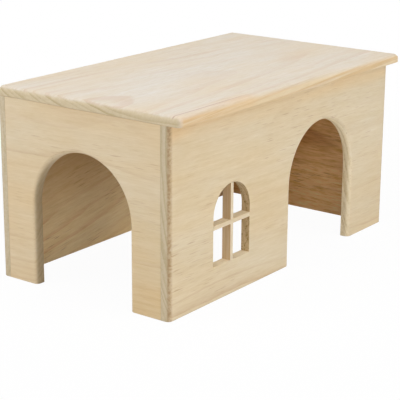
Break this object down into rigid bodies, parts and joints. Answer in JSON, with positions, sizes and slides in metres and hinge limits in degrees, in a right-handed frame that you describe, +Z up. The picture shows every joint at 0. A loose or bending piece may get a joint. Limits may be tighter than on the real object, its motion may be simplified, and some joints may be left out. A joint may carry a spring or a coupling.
{
  "type": "wooden rabbit house",
  "caption": "Bottomless pine hut for a rabbit: four board walls, flat roof that overhangs the front, arched doorways in the front and one end, arched window with a crossed bar.",
  "frame": {"origin": "on the ground, under the middle of the roof's outline", "axes": "+X along the house to its plain right end, -Y out of the front wall with the window, +Z up"},
  "size_m": [0.4, 0.23, 0.2],
  "materials": {
    "roof_board": "planed and sanded pine, bare",
    "long_wall_board": "planed and sanded pine, bare",
    "end_wall_board": "planed and sanded pine, bare",
    "window_bar": "sawn pine lath, bare",
    "dowel": "beech dowel, bare"
  },
  "bodies": {
    "root": {"roof": "roof_board", "front_wall": "long_wall_board", "back_wall": "long_wall_board", "left_end_wall": "end_wall_board", "right_end_wall": "end_wall_board", "window_mullion": "window_bar", "window_transom": "window_bar", "front_left_corner_dowels": "dowel", "front_right_corner_dowels": "dowel", "back_left_corner_dowels": "dowel", "back_right_corner_dowels": "dowel", "roof_front_dowels": "dowel", "roof_back_dowels": "dowel", "roof_left_dowels": "dowel", "roof_right_dowels": "dowel"}
  },
  "joints": []
}
